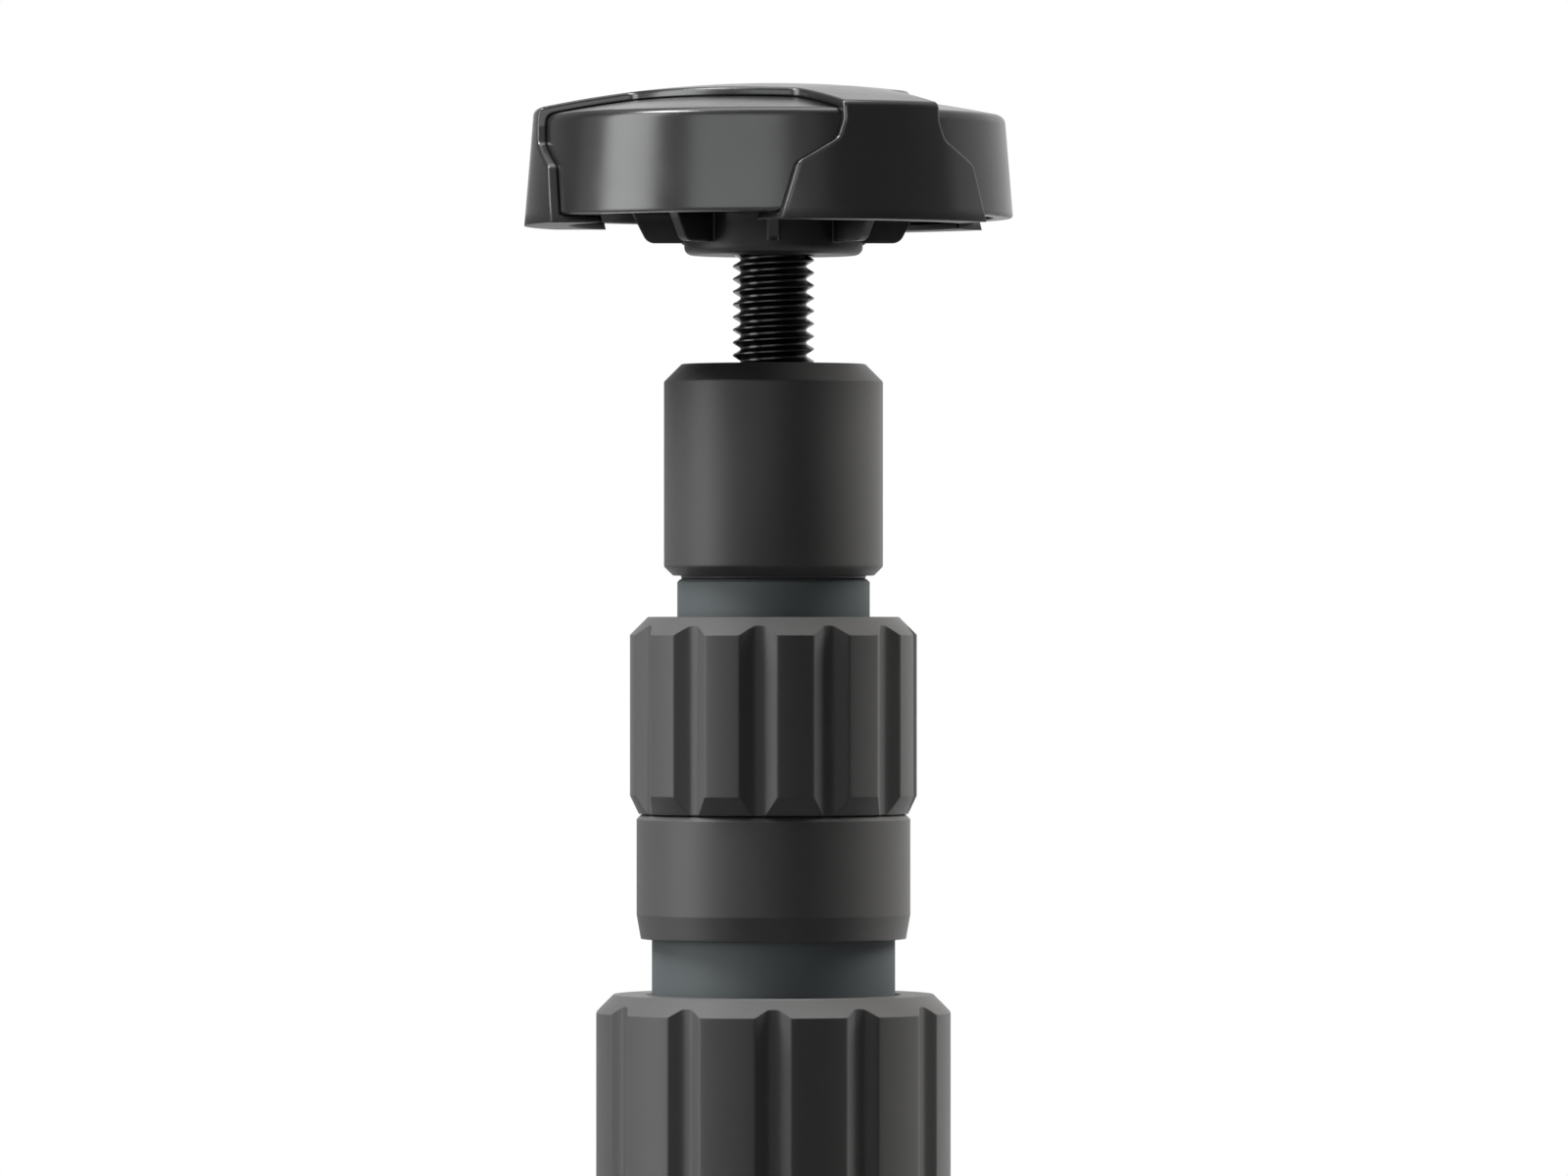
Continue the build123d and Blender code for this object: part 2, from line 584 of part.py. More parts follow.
def hub():
    """The machined hub: a socket for the outer tube above, three slots for the legs below."""
    neck_z = HUB_TOP_Z - HUB_NECK_HEIGHT
    shoulder_z = SLOT_ROOF_Z + HUB_SHOULDER_RISE
    socket_r = OUTER_TUBE_R + BOND_GAP
    bolt_r = BOLT_R + BOLT_CLEARANCE
    counterbore_r = BOLT_HEAD_R + BOLT_CLEARANCE
    body = turned([
        (counterbore_r, HUB_FOOT_Z),
        (HUB_R - HUB_FOOT_CHAMFER, HUB_FOOT_Z),
        (HUB_R, HUB_FOOT_Z + HUB_FOOT_CHAMFER),
        (HUB_R, shoulder_z),
        (HUB_NECK_R, neck_z),
        (HUB_NECK_R, HUB_TOP_Z - HUB_TOP_CHAMFER),
        (HUB_NECK_R - HUB_TOP_CHAMFER, HUB_TOP_Z),
        (socket_r, HUB_TOP_Z),
        (socket_r, SOCKET_FLOOR_Z),
        (bolt_r, SOCKET_FLOOR_Z),
        (bolt_r, HUB_FOOT_Z + BOLT_SEAT_HEIGHT),
        (counterbore_r, HUB_FOOT_Z + BOLT_SEAT_HEIGHT),
    ])
    slot_height = SLOT_ROOF_Z - HUB_FOOT_Z + CUT_OVERRUN
    slot = Box(HUB_R, 2 * slot_half_width(), slot_height, align=(Align.MIN, Align.CENTER, Align.MAX))
    slot = Pos(HUB_CORE_R, 0, SLOT_ROOF_Z) * slot
    seat = along_hinge(HINGE_HEAD_R + BOLT_CLEARANCE, HINGE_HEAD_SEAT, HUB_R)
    shoulder_hole = along_hinge(HINGE_PIN_R + BOND_GAP, -HINGE_SHOULDER_END, HINGE_HEAD_SEAT)
    thread_hole = along_hinge(HINGE_THREAD_R + BOND_GAP, -HINGE_THREAD_END - CUT_OVERRUN, 0)
    for turn in leg_turns():
        body -= turn * slot
        body -= turn * seat
        body -= turn * shoulder_hole
        body -= turn * thread_hole
    return body


def hinge_screw():
    """A shoulder screw through a slot's two ears and the leg's eye."""
    shank = along_hinge(HINGE_PIN_R, -HINGE_SHOULDER_END, HINGE_HEAD_SEAT)
    thread = along_hinge(HINGE_THREAD_R, -HINGE_THREAD_END, -HINGE_SHOULDER_END)
    head_end = HINGE_HEAD_SEAT + HINGE_HEAD_HEIGHT
    head = along_hinge(HINGE_HEAD_R, HINGE_HEAD_SEAT, head_end)
    head = chamfer(head.edges().group_by(Axis.Y)[-1], TUBE_EDGE)
    key = extrude(RegularPolygon(HINGE_SOCKET_R, 6), HINGE_SOCKET_DEPTH)
    key = Pos(LEG_HINGE_RADIUS, head_end, HINGE_Z) * Rot(90, 0, 0) * key
    return shank + thread + head - key


def washers():
    """The two friction washers beside a leg's eye."""
    inner = LEG_EYE_HALF_WIDTH + RUNNING_GAP
    outer = inner + WASHER_THICKNESS
    bore = along_hinge(HINGE_PIN_R + RUNNING_GAP, -outer - CUT_OVERRUN, outer + CUT_OVERRUN)
    return [along_hinge(WASHER_R, inner, outer) - bore, along_hinge(WASHER_R, -outer, -inner) - bore]


# Legs


def leg_place():
    """Carries a leg drawn along +X, its underside down, to its open place on the +X side."""
    return Pos(LEG_HINGE_RADIUS, 0, HINGE_Z) * Rot(0, 90 - LEG_OPEN_ANGLE, 0)


def leg_body():
    """One leg along +X from its hinge: an eye with a heel that stops it, a tapered beam and a tenon."""
    dip = radians(90 - LEG_OPEN_ANGLE)
    level = Vector(cos(dip), sin(dip))
    upright = Vector(-sin(dip), cos(dip))
    heel_start = upright * LEG_EYE_R
    heel_end = heel_start + level * LEG_HEEL_LENGTH
    side = make_face(Polyline(
        (0, -LEG_ROOT_HALF_DEPTH),
        (LEG_BODY_LENGTH, -LEG_TIP_HALF_DEPTH),
        (LEG_BODY_LENGTH, LEG_TIP_HALF_DEPTH),
        (LEG_HEEL_END, LEG_ROOT_HALF_DEPTH),
        (heel_end.X, heel_end.Y),
        (heel_start.X, heel_start.Y),
        (0, 0),
        close=True,
    ))
    side += Circle(LEG_EYE_R)
    plan = make_face(Polyline(
        (-LEG_EYE_R - CUT_OVERRUN, LEG_EYE_HALF_WIDTH),
        (LEG_WIDENS_FROM, LEG_EYE_HALF_WIDTH),
        (LEG_WIDENS_TO, LEG_ROOT_HALF_WIDTH),
        (LEG_BODY_LENGTH, LEG_TIP_HALF_WIDTH),
        (LEG_BODY_LENGTH, -LEG_TIP_HALF_WIDTH),
        (LEG_WIDENS_TO, -LEG_ROOT_HALF_WIDTH),
        (LEG_WIDENS_FROM, -LEG_EYE_HALF_WIDTH),
        (-LEG_EYE_R - CUT_OVERRUN, -LEG_EYE_HALF_WIDTH),
        close=True,
    ))
    body = extrude(Plane.XZ * side, LEG_ROOT_HALF_WIDTH + CUT_OVERRUN, both=True)
    body &= extrude(plan, 2 * LEG_EYE_R, both=True)
    long_edges = [e for e in body.edges() if e.length > LEG_BODY_LENGTH / 2]
    body = fillet(long_edges, LEG_EDGE_R)
    bore = Rot(90, 0, 0) * Cylinder(HINGE_PIN_R + RUNNING_GAP, 4 * LEG_ROOT_HALF_WIDTH)
    body -= bore
    pocket_end = LEG_BODY_LENGTH - POCKET_TIP_MARGIN
    pocket_length = pocket_end - POCKET_START
    pocket = extrude(SlotOverall(pocket_length, 2 * POCKET_HALF_WIDTH), 2 * POCKET_DEPTH)
    pocket_mid = (POCKET_START + pocket_end) / 2
    taper = (LEG_ROOT_HALF_DEPTH - LEG_TIP_HALF_DEPTH) / LEG_BODY_LENGTH
    mid_depth = LEG_ROOT_HALF_DEPTH - taper * pocket_mid
    tilt = degrees(-taper)
    body -= Pos(pocket_mid, 0, -mid_depth) * Rot(0, tilt, 0) * Pos(0, 0, -POCKET_DEPTH) * pocket
    tenon = Cylinder(LEG_TENON_R, LEG_TENON_LENGTH, align=(Align.CENTER, Align.CENTER, Align.MIN))
    tenon = chamfer(tenon.edges().group_by(Axis.Z)[-1], TUBE_EDGE)
    return body + Pos(LEG_BODY_LENGTH, 0, 0) * Rot(0, 90, 0) * tenon


def leg_foot():
    """The rubber foot on a leg's tenon: a round boot, cut flat where it meets the floor."""
    start = LEG_BODY_LENGTH
    bore_r = LEG_TENON_R + BOND_GAP
    bore_end = start + LEG_TENON_LENGTH + FOOT_END_GAP
    outline = [
        Line((start, bore_r), (start, FOOT_COLLAR_R)),
        Line((start, FOOT_COLLAR_R), (start + FOOT_COLLAR, FOOT_R)),
        Line((start + FOOT_COLLAR, FOOT_R), (LEG_LENGTH, FOOT_R)),
        RadiusArc((LEG_LENGTH, FOOT_R), (LEG_LENGTH + FOOT_R, 0), FOOT_R),
        Line((LEG_LENGTH + FOOT_R, 0), (bore_end, 0)),
        Line((bore_end, 0), (bore_end, bore_r)),
        Line((bore_end, bore_r), (start, bore_r)),
    ]
    return revolve(make_face([line.edges()[0] for line in outline]), Axis.X)


def above_floor(shape):
    """What is left of a shape above the floor."""
    size = 3 * LEG_LENGTH
    return shape & Box(size, size, size, align=(Align.CENTER, Align.CENTER, Align.MIN))


def write_locks():
    """Writes the pieces of both twist locks."""
    locks = {
        "lower": (
            MIDDLE_TUBE_R, OUTER_TUBE_R, LOWER_NUT_R, LOWER_NUT_HEIGHT, LOWER_FLUTE_DEPTH,
            LOWER_LAND_ANGLE, LOWER_THREAD_R, LOWER_FERRULE_R, LOWER_FERRULE_HEIGHT, LOWER_LOCK_Z,
        ),
        "upper": (
            INNER_TUBE_R, MIDDLE_TUBE_R, UPPER_NUT_R, UPPER_NUT_HEIGHT, UPPER_FLUTE_DEPTH,
            UPPER_LAND_ANGLE, UPPER_THREAD_R, UPPER_FERRULE_R, UPPER_FERRULE_HEIGHT, UPPER_LOCK_Z,
        ),
    }
    for name, sizes in locks.items():
        slider_r, holder_r, nut_r, nut_height, flute_depth, land, thread_r, sleeve_r, sleeve_h, lock_z = sizes
        write(f"{name}_lock_nut", lock_nut(slider_r, nut_r, nut_height, flute_depth, land, thread_r, lock_z))
        write(f"{name}_ferrule", ferrule(slider_r, holder_r, sleeve_r, sleeve_h, thread_r, lock_z, nut_height))
        write(f"{name}_collet", collet(slider_r, lock_z, nut_height))
        write(f"{name}_wiper_ring", wiper(slider_r, lock_z, nut_height))


def write_column():
    """Writes the tubes, their guide shims and the end collar."""
    middle_foot_z = MIDDLE_TUBE_TOP_Z - MIDDLE_TUBE_LENGTH
    inner_foot_z = INNER_TUBE_TOP_Z - INNER_TUBE_LENGTH
    write("outer_tube", tube(OUTER_TUBE_R, OUTER_TUBE_TOP_Z, OUTER_TUBE_LENGTH, True, False))
    write("middle_tube", tube(MIDDLE_TUBE_R, MIDDLE_TUBE_TOP_Z, MIDDLE_TUBE_LENGTH, True, True))
    write("inner_tube", tube(INNER_TUBE_R, INNER_TUBE_TOP_Z, INNER_TUBE_LENGTH, False, True))
    write("middle_guide_shims", guide_shims(MIDDLE_TUBE_R, OUTER_TUBE_R, middle_foot_z))
    write("inner_guide_shims", guide_shims(INNER_TUBE_R, MIDDLE_TUBE_R, inner_foot_z))
    write("end_collar", end_collar())


def write_base():
    """Writes the hub with its fasteners, and the three legs with their feet."""
    turns = leg_turns()
    screw = hinge_screw()
    pair = washers()
    leg = leg_place() * leg_body()
    foot = above_floor(leg_place() * leg_foot())
    write("hub", hub())
    write("tube_plug", tube_plug())
    write("hub_bolt", hub_bolt())
    write("hinge_screws", *[turn * screw for turn in turns])
    write("friction_washers", *[turn * washer for turn in turns for washer in pair])
    for number, turn in enumerate(turns, start=1):
        write(f"leg_{number}", turn * leg)
        write(f"foot_{number}", turn * foot)


def main():
    os.makedirs("parts", exist_ok=True)
    write("knob_shell", knob_shell())
    write("knob_cover", knob_cover())
    write("clamp_screw", clamp_screw())
    write_locks()
    write_column()
    write_base()


main()
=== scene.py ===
import json
from math import atan2, cos, hypot, radians, sin, sqrt, tan, tau

import bmesh
import bpy
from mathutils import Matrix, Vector


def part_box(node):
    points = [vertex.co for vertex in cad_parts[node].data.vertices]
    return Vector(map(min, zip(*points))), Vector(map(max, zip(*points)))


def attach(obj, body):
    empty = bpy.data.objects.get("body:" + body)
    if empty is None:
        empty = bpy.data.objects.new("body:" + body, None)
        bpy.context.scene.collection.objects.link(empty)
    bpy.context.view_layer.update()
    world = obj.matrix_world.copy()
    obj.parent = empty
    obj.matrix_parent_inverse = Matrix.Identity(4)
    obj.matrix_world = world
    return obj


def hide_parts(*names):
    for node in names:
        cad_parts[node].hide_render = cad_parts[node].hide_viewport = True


# Looks of a compact tripod whose column ends in a three-arm hand knob.
# Everything is in metres and in the model's own frame: the column is the Z axis, the floor is z = 0.

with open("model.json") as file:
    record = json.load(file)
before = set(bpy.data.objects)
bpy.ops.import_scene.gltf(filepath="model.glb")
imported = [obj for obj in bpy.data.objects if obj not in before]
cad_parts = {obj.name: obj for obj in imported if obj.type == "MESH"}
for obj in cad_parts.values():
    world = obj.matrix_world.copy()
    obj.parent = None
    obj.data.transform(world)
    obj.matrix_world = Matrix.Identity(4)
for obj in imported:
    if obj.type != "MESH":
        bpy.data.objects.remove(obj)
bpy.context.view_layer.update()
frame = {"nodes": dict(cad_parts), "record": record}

MM = 0.001
COLLAR_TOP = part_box("end_collar")[1].z
COLUMN_TOP = Vector((0, 0, COLLAR_TOP))

# The photograph's view: level, a little right of the column and below the collar's top
PHOTO_WIDTH = 1600
PIXELS_PER_METRE = 10350.0
SENSOR = 36.0
VIEW_DISTANCE = 1.14
VIEW_RIGHT = 1.04 * MM
VIEW_BELOW_COLLAR = 22.08 * MM

# Turned pieces
TURN_STEPS = 128
EDGE_SOFTNESS = 0.12 * MM
EDGE_SEGMENTS = 3
SHARP_ANGLE = radians(18)
CREASE_ANGLE = radians(35)
WELD = 0.001 * MM
LEVEL_CUT = 0.0001 * MM

# The knob's shell: its rim over the boss's foot, and the height over which its gloss ends and painted shade
# begins there
SHELL_RIM_ABOVE_BOSS = 3.65 * MM
SHELL_RIM_FADE = 0.6 * MM

# The clamp screw and its thread
SCREW_RADIUS = 4.0 * MM
SCREW_IN_BOSS = 2.0 * MM
THREAD_PITCH = 1.25 * MM
THREAD_DEPTH = 0.72 * MM
THREAD_CREST = 0.16 * MM
THREAD_ROOT = 0.2 * MM
THREAD_STEPS = 48
SPARE_TURNS = 2

# The end collar
COLLAR_BORE = 4.05 * MM
COLLAR_PLUG_RADIUS = 8.25 * MM
COLLAR_NECK_RADIUS = 9.1 * MM
COLLAR_NECK_HEIGHT = 0.33 * MM
COLLAR_FOOT_CHAMFER = 0.9 * MM
COLLAR_TOP_CHAMFER = 1.75 * MM
COLLAR_MOUTH_CHAMFER = 0.4 * MM

# The lock nuts: what both have alike
FLUTES = 12
FLUTE_PITCH = tau / FLUTES
FLUTE_SLOPE = radians(30)
FLUTE_BLEND = 1.0 * MM
LAND_ROUNDING = 0.12 * MM
NUT_TOP_CHAMFER = 1.77 * MM
NUT_FOOT_INSET = 0.87 * MM
NUT_FOOT_RISE = 1.8 * MM
NUT_MOUTH_CHAMFER = 0.3 * MM
NUT_LIP = 1.3 * MM
WIPER_ROOM = 1.9 * MM
COLLET_ROOM = 2.5 * MM
LEAST_WALL = 0.01 * MM

# Each nut's own sizes: its radius outside, those of its bores, and how many degrees to the right of
# the camera the middle of a land is
LOCK_NUTS = {
    "upper": {
        "radius": 14.15 * MM,
        "mouth": 9.8 * MM,
        "wiper_groove": 11.0 * MM,
        "collet_pocket": 11.8 * MM,
        "thread": 12.05 * MM,
        "flute_half_width": 1.88 * MM,
        "flute_depth": 0.95 * MM,
        "land_angle": 9.0,
    },
    "lower": {
        "radius": 17.55 * MM,
        "mouth": 12.3 * MM,
        "wiper_groove": 13.5 * MM,
        "collet_pocket": 14.3 * MM,
        "thread": 14.95 * MM,
        "flute_half_width": 1.76 * MM,
        "flute_depth": 0.82 * MM,
        "land_angle": 15.0,
    },
}

# The studio
WORLD_LIGHT = 0.045
FLOOR_RADIUS = 1.5
FLOOR_SIDES = 96
FLOOR_FADE_START = 0.25
FLOOR_FADE_END = 1.2
PLAIN_LIGHT = (1.0, 1.0, 1.0)
COOL_LIGHT = (0.98, 0.99, 1.0)
COOLER_LIGHT = (0.97, 0.99, 1.0)
WARM_LIGHT = (1.0, 0.98, 0.96)
FLAG_GLOW = 0.35


class Wire:
    """A node's output. Sums on it add Math nodes, so that a pattern reads as a formula."""

    def __init__(self, board, socket):
        self.board = board
        self.socket = socket

    def sum(self, operation, *values):
        return self.board.node("ShaderNodeMath", {"operation": operation}, dict(enumerate(values)))

    def __add__(self, other):
        return self.sum("ADD", self, other)

    def __radd__(self, other):
        return self.sum("ADD", other, self)

    def __sub__(self, other):
        return self.sum("SUBTRACT", self, other)

    def __rsub__(self, other):
        return self.sum("SUBTRACT", other, self)

    def __mul__(self, other):
        return self.sum("MULTIPLY", self, other)

    def __rmul__(self, other):
        return self.sum("MULTIPLY", other, self)


class Board:
    """A node tree, for a material or the world."""

    def __init__(self, owner):
        owner.use_nodes = True
        self.tree = owner.node_tree
        self.place = None

    def node(self, kind, settings=None, inputs=None, output=0):
        """Adds a node: its settings first, then the values or wires of its inputs."""
        new = self.tree.nodes.new(kind)
        for name, value in (settings or {}).items():
            setattr(new, name, value)
        for name, value in (inputs or {}).items():
            self.feed(new.inputs[name], value)
        return Wire(self, new.outputs[output])

    def feed(self, socket, value):
        """Gives a socket its value, or the wire that it takes one from."""
        if isinstance(value, Wire):
            self.tree.links.new(value.socket, socket)
        else:
            socket.default_value = value

    def where(self):
        """The point on the piece, in metres."""
        if self.place is None:
            self.place = self.node("ShaderNodeTexCoord", output="Object")
        return self.place

    def height(self):
        """How high that point is."""
        return self.node("ShaderNodeSeparateXYZ", None, {0: self.where()}, "Z")

    def stretched(self, x, y, z):
        """That point with each axis scaled, for a pattern that runs along one of them."""
        return self.node("ShaderNodeMapping", None, {"Vector": self.where(), "Scale": (x, y, z)})

    def clouds(self, size, detail=2.0, vector=None):
        """Soft random noise from 0 to 1, with lumps of about that size in metres."""
        inputs = {
            "Vector": vector or self.where(),
            "Scale": 1.0 / size,
            "Detail": detail,
            "Roughness": 0.55,
        }
        return self.node("ShaderNodeTexNoise", None, inputs, "Fac")

    def ramp(self, value, start, end):
        """0 up to the start, 1 from the end on, and a smooth step between."""
        inputs = {"Value": value, "From Min": start, "From Max": end}
        return self.node("ShaderNodeMapRange", {"interpolation_type": "SMOOTHSTEP"}, inputs)

    def between(self, share, first, second):
        """A colour between two colours."""
        inputs = {0: share, 6: first, 7: second}
        return self.node("ShaderNodeMix", {"data_type": "RGBA"}, inputs, 2)

    def worn_edges(self, radius):
        """1 along the piece's outer edges, where a rounded normal leaves the true one."""
        rounded = self.node("ShaderNodeBevel", {"samples": 6}, {"Radius": radius})
        true = self.node("ShaderNodeNewGeometry", output="True Normal")
        both = {0: rounded, 1: true}
        likeness = self.node("ShaderNodeVectorMath", {"operation": "DOT_PRODUCT"}, both, "Value")
        return self.ramp(1.0 - likeness, 0.02, 0.2)


class Finish(Board):
    """A material: what is the same all over is set on the shader, and what varies is wired to it."""

    def __init__(self, name, constants):
        self.material = bpy.data.materials.new(name)
        super().__init__(self.material)
        self.shader = self.tree.nodes["Principled BSDF"]
        for socket, value in constants.items():
            self.shader.inputs[socket].default_value = value

    def wire(self, **varying):
        """Wires patterns to the shader's sockets, named in small letters."""
        for name, value in varying.items():
            self.feed(self.shader.inputs[name.replace("_", " ").title()], value)

    def relief(self, height, depth, edge_radius):
        """Raises the surface by a height of 0 to 1 times a depth, and rounds its edges to the eye."""
        rounded = self.node("ShaderNodeBevel", {"samples": 8}, {"Radius": edge_radius})
        inputs = {"Height": height, "Distance": depth, "Strength": 1.0, "Normal": rounded}
        self.wire(normal=self.node("ShaderNodeBump", None, inputs))


def grey(shade, warmth=0.0):
    """A near-neutral linear colour, warmer or cooler by a small share."""
    return (shade * (1 + warmth), shade, shade * (1 - warmth), 1.0)


# Finishes


def satin_anodising():
    """Dark grey anodised aluminium, blasted fine and soft, with a trace of the turning under it."""
    finish = Finish("satin_anodising", {"Metallic": 0.0, "IOR": 1.25})
    blotches = finish.clouds(9 * MM, detail=3.0)
    grain = finish.clouds(0.16 * MM)
    turning = finish.clouds(0.12 * MM, detail=1.0, vector=finish.stretched(0.02, 0.02, 1.0))
    edges = finish.worn_edges(0.25 * MM)
    tone = finish.between(blotches, grey(0.108), grey(0.122, warmth=0.01))
    finish.wire(
        base_color=finish.between(edges * 0.35, tone, grey(0.2)),
        roughness=0.4 + 0.08 * blotches + 0.05 * grain - 0.06 * edges,
    )
    finish.relief(0.7 * grain + 0.3 * turning, depth=0.012 * MM, edge_radius=0.2 * MM)
    return finish


def smooth_tube():
    """Dark blue-grey anodised tube, drawn smooth, with faint lines along it."""
    constants = {"Metallic": 0.0, "IOR": 1.52, "Specular Tint": (0.92, 0.99, 1.0, 1.0)}
    finish = Finish("smooth_tube", constants)
    drawn = finish.clouds(0.25 * MM, vector=finish.stretched(1.0, 1.0, 0.01))
    blotches = finish.clouds(14 * MM)
    darker = (0.07, 0.081, 0.085, 1.0)
    lighter = (0.077, 0.087, 0.091, 1.0)
    finish.wire(
        base_color=finish.between(blotches, darker, lighter),
        roughness=0.68 + 0.06 * blotches + 0.05 * drawn,
    )
    finish.relief(drawn, depth=0.002 * MM, edge_radius=0.15 * MM)
    return finish


def glossy_plastic():
    """Glossy black moulded plastic with a faint orange peel and handling haze; below the rim it is dull and
    darkened with painted shade.
    """
    finish = Finish("glossy_plastic", {"IOR": 1.46})
    peel = finish.clouds(1.6 * MM, detail=1.0)
    haze = finish.ramp(finish.clouds(11 * MM, detail=4.0), 0.35, 0.75)
    specks = finish.clouds(0.25 * MM, detail=1.0)
    edges = finish.worn_edges(0.2 * MM)
    tone = finish.between(haze, grey(0.005), grey(0.007, warmth=0.02))
    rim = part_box("knob_shell")[0].z + SHELL_RIM_ABOVE_BOSS
    # Below the rim the plastic is rougher, and metallic over its near-black colour dims its reflections:
    # painted shade on the underside.
    dull_and_painted_shade_below_rim = finish.ramp(finish.height(), rim + SHELL_RIM_FADE, rim - SHELL_RIM_FADE)
    finish.wire(
        base_color=finish.between(edges * 0.3, tone, grey(0.02)),
        roughness=0.2 + 0.06 * haze + 0.02 * specks + 0.25 * dull_and_painted_shade_below_rim,
        metallic=0.55 * dull_and_painted_shade_below_rim,
    )
    finish.relief(peel, depth=0.003 * MM, edge_radius=0.35 * MM)
    return finish


def black_oxide():
    """Black steel, oiled and glossy."""
    finish = Finish("black_oxide", {"IOR": 1.32})
    patches = finish.clouds(3 * MM, detail=3.0)
    edges = finish.worn_edges(0.08 * MM)
    tone = finish.between(patches, grey(0.004), grey(0.008, warmth=0.03))
    finish.wire(
        base_color=finish.between(edges * 0.4, tone, grey(0.04)),
        roughness=0.17 + 0.08 * patches,
    )
    finish.relief(finish.clouds(0.2 * MM), depth=0.003 * MM, edge_radius=0.06 * MM)
    return finish


def moulded_acetal():
    """Plain black engineering plastic, half matt."""
    finish = Finish("moulded_acetal", {"IOR": 1.48})
    flow = finish.clouds(4 * MM, detail=3.0)
    finish.wire(
        base_color=finish.between(flow, grey(0.016), grey(0.024)),
        roughness=0.4 + 0.12 * flow,
    )
    finish.relief(finish.clouds(0.3 * MM), depth=0.006 * MM, edge_radius=0.15 * MM)
    return finish


def black_rubber():
    """Matt black rubber with a sandy grain and a little dust."""
    finish = Finish("black_rubber", {"IOR": 1.5})
    dust = finish.ramp(finish.clouds(5 * MM, detail=5.0), 0.5, 0.8)
    grain = finish.clouds(0.35 * MM, detail=3.0)
    finish.wire(
        base_color=finish.between(dust, grey(0.017), grey(0.045, warmth=0.04)),
        roughness=0.72 + 0.12 * dust + 0.06 * grain,
    )
    finish.relief(grain, depth=0.03 * MM, edge_radius=0.3 * MM)
    return finish


def bare_aluminium():
    """Turned aluminium, left bright."""
    finish = Finish("bare_aluminium", {"Metallic": 1.0})
    turning = finish.clouds(0.15 * MM, vector=finish.stretched(0.02, 0.02, 1.0))
    smears = finish.clouds(6 * MM, detail=3.0)
    finish.wire(
        base_color=finish.between(smears, grey(0.52), grey(0.6)),
        roughness=0.28 + 0.12 * turning,
    )
    finish.relief(turning, depth=0.006 * MM, edge_radius=0.15 * MM)
    return finish


# Making pieces


def turned(outline, steps=TURN_STEPS):
    """A closed ring about the column's axis, turned from its section's (radius, height) corners."""
    mesh = bmesh.new()
    corners = [mesh.verts.new((radius, 0, height)) for radius, height in outline]
    sides = [mesh.edges.new(pair) for pair in zip(corners, corners[1:] + corners[:1])]
    bmesh.ops.spin(
        mesh, geom=corners + sides, cent=(0, 0, 0), axis=(0, 0, 1), dvec=(0, 0, 0),
        angle=tau, steps=steps, use_merge=True, use_duplicate=False,
    )
    bmesh.ops.remove_doubles(mesh, verts=mesh.verts, dist=WELD)
    bmesh.ops.recalc_face_normals(mesh, faces=mesh.faces)
    return mesh


def soften(mesh):
    """Rounds every edge that is sharper than a gentle curve."""
    sharp = [e for e in mesh.edges if e.is_manifold and e.calc_face_angle() > SHARP_ANGLE]
    bmesh.ops.bevel(
        mesh, geom=sharp, offset=EDGE_SOFTNESS, offset_type="OFFSET", affect="EDGES",
        segments=EDGE_SEGMENTS, profile=0.5, material=-1, clamp_overlap=True,
    )
    return mesh


def cut_level(mesh, height, outwards):
    """Cuts off what is above a height, or below it where outwards is -1, and closes the cut."""
    everything = mesh.verts[:] + mesh.edges[:] + mesh.faces[:]
    cut = bmesh.ops.bisect_plane(
        mesh, geom=everything, dist=LEVEL_CUT, plane_co=(0, 0, height), plane_no=(0, 0, outwards),
        clear_outer=True,
    )
    rim = [e for e in cut["geom_cut"] if isinstance(e, bmesh.types.BMEdge)]
    bmesh.ops.holes_fill(mesh, edges=rim, sides=0)


def into_scene(name, mesh):
    """Puts a mesh into the scene as an object."""
    data = bpy.data.meshes.new(name)
    mesh.to_mesh(data)
    mesh.free()
    new = bpy.data.objects.new(name, data)
    bpy.context.scene.collection.objects.link(new)
    return new


def add_piece(name, mesh, finish, body, slot, *nodes, crease=CREASE_ANGLE):
    """Makes a mesh a piece of the object that rides on a body and stands for its plain nodes."""
    piece = into_scene(name, mesh)
    piece.data.shade_smooth()
    piece.data.set_sharp_from_angle(angle=crease)
    piece.data.materials.append(finish.material)
    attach(piece, body)
    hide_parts(*nodes)


# Clamp screw


def threaded_rod(radius, low, high):
    """A rod with a helical thread, cut level at both ends."""
    root = radius - THREAD_DEPTH
    flank = (THREAD_PITCH - THREAD_CREST - THREAD_ROOT) / 2
    start = low - SPARE_TURNS * THREAD_PITCH
    turns = int((high - low) / THREAD_PITCH) + 2 * SPARE_TURNS
    tooth = [
        (root, 0.0),
        (root, THREAD_ROOT),
        (radius, THREAD_ROOT + flank),
        (radius, THREAD_ROOT + flank + THREAD_CREST),
        (root, THREAD_PITCH),
    ]
    mesh = bmesh.new()
    corners = [mesh.verts.new((r, 0, start + z)) for r, z in tooth]
    sides = [mesh.edges.new(pair) for pair in zip(corners, corners[1:])]
    bmesh.ops.spin(
        mesh, geom=corners + sides, cent=(0, 0, 0), axis=(0, 0, 1),
        dvec=(0, 0, THREAD_PITCH / THREAD_STEPS), angle=turns * tau, steps=turns * THREAD_STEPS,
        use_merge=False, use_duplicate=False,
    )
    bmesh.ops.remove_doubles(mesh, verts=mesh.verts, dist=2 * WELD)
    cut_level(mesh, low, -1)
    cut_level(mesh, high, 1)
    bmesh.ops.recalc_face_normals(mesh, faces=mesh.faces)
    return mesh


def make_screw(finish):
    """The clamp screw, threaded up to the knob's boss and a little into it."""
    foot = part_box("clamp_screw")[0].z
    boss_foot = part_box("knob_shell")[0].z
    mesh = threaded_rod(SCREW_RADIUS, foot, boss_foot + SCREW_IN_BOSS)
    add_piece("threaded_screw", mesh, finish, "screw", "black_steel", "clamp_screw")


# End collar


